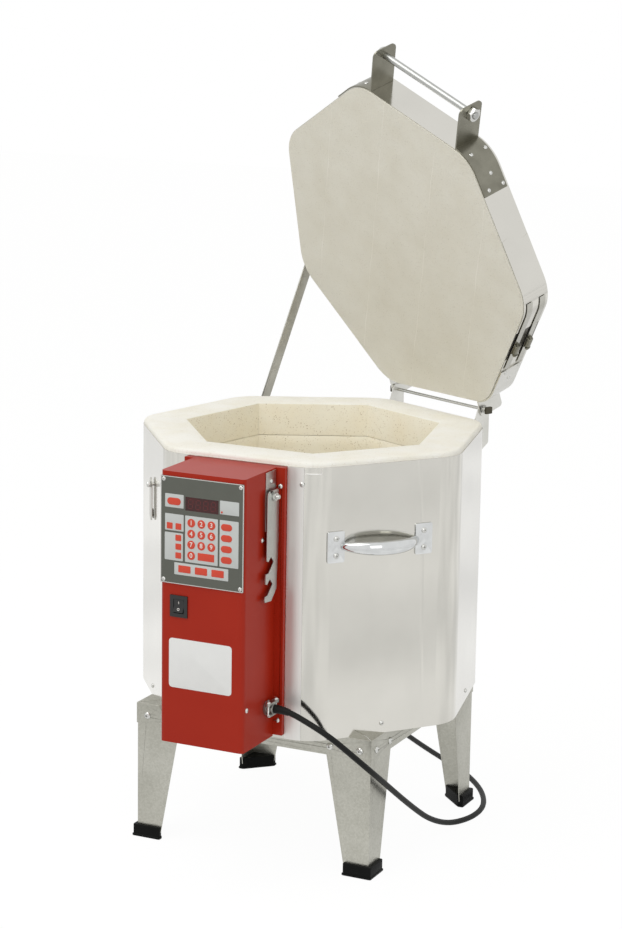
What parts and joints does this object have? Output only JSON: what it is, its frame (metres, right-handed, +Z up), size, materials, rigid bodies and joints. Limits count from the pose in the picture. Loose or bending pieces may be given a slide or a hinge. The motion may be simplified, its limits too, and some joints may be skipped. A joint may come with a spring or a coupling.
{
  "type": "electric kiln",
  "caption": "Top-loading electric kiln: seven-sided firebrick chamber in a steel jacket on a legged stand, with a hinged lid and a control box.",
  "frame": {"origin": "floor level under the chamber's upright axis", "axes": "+Z up, -Y towards the control box's front, +X towards the box's prop arm and cord side"},
  "size_m": [0.5967, 0.9247, 1.1659],
  "materials": {
    "firebrick": "rough",
    "stainless": "polished",
    "galvanised": "spangled zinc",
    "fixings": "bright zinc",
    "handle_chrome": "chromed",
    "red_paint": "gloss",
    "panel_grey": "satin",
    "keypad_film": "satin film",
    "display_glass": "clear red",
    "black_plastic": "gloss",
    "label_white": "matt film",
    "board": "laminate",
    "fittings": "moulded",
    "probe": "fired",
    "element_wire": "oxidised",
    "black_rubber": "matt"
  },
  "bodies": {
    "kiln": {"base_pan": "galvanised", "cable_clamp": "fixings", "control_box_back": "red_paint", "control_box_cover": "red_paint", "control_box_screws": "fixings", "control_panel": "panel_grey", "controller_board": "board", "cord_coil": "black_rubber", "display_window": "display_glass", "floor_slab": "firebrick", "handle_left": "handle_chrome", "handle_right": "handle_chrome", "handle_screws": "fixings", "heating_elements": "element_wire", "hinge_ear_left": "stainless", "hinge_ear_right": "stainless", "hinge_rod": "fixings", "jacket": "stainless", "jacket_screws": "fixings", "keypad": "keypad_film", "label_plate": "label_white", "panel_screws": "fixings", "peephole_screw": "fixings", "plug": "black_rubber", "power_cord": "black_rubber", "prop_bolt": "fixings", "prop_bracket": "galvanised", "relay": "fittings", "stand_feet": "black_rubber", "stand_leg_back_left": "galvanised", "stand_leg_back_right": "galvanised", "stand_leg_front_left": "galvanised", "stand_leg_front_right": "galvanised", "stand_rail_back": "galvanised", "stand_rail_front": "galvanised", "stand_rail_left": "galvanised", "stand_rail_right": "galvanised", "stand_screws": "fixings", "support_stud": "stainless", "switch_housing": "black_plastic", "terminal_block": "fittings", "thermocouple": "probe", "wall_course_1": "firebrick", "wall_course_2": "firebrick", "wall_course_3": "firebrick"},
    "lid": {"lid_slab": "firebrick", "lid_band": "stainless", "band_clamps": "fixings", "lid_handle_rod": "fixings", "lid_handle_nuts": "fixings", "lid_fixings": "fixings", "lid_handle_bracket_left": "stainless", "lid_handle_bracket_right": "stainless", "lid_hinge_plate_left": "stainless", "lid_hinge_plate_right": "stainless"},
    "lid_brace": {"lid_brace": "stainless"},
    "prop_arm": {"prop_arm": "galvanised"},
    "rocker": {"rocker": "black_plastic"},
    "peephole_cover": {"peephole_cover": "stainless"}
  },
  "joints": [
    {"name": "lid_hinge", "type": "hinge", "parent": "kiln", "child": "lid", "pos_m": [0.11151, 0.23155, 0.61885], "axis": [0.901, -0.4339, 0], "range_deg": [0, 70.5]},
    {"name": "brace_pivot", "type": "hinge", "parent": "lid", "child": "lid_brace", "pos_m": [-0.14228, 0.28974, 0.82459], "axis": [-0.901, 0.4339, 0], "range_deg": [0, 110]},
    {"name": "prop_swing", "type": "hinge", "parent": "kiln", "child": "prop_arm", "pos_m": [0.0685, -0.266, 0.5617], "axis": [1, 0, 0], "range_deg": [-165, 0]},
    {"name": "rocker_tilt", "type": "hinge", "parent": "kiln", "child": "rocker", "pos_m": [-0.0385, -0.3368, 0.4085], "axis": [1, 0, 0], "range_deg": [0, 16]},
    {"name": "peephole_swing", "type": "hinge", "parent": "kiln", "child": "peephole_cover", "pos_m": [-0.18838, -0.15023, 0.52785], "axis": [-0.7818, -0.6235, 0], "range_deg": [-110, 110]}
  ]
}
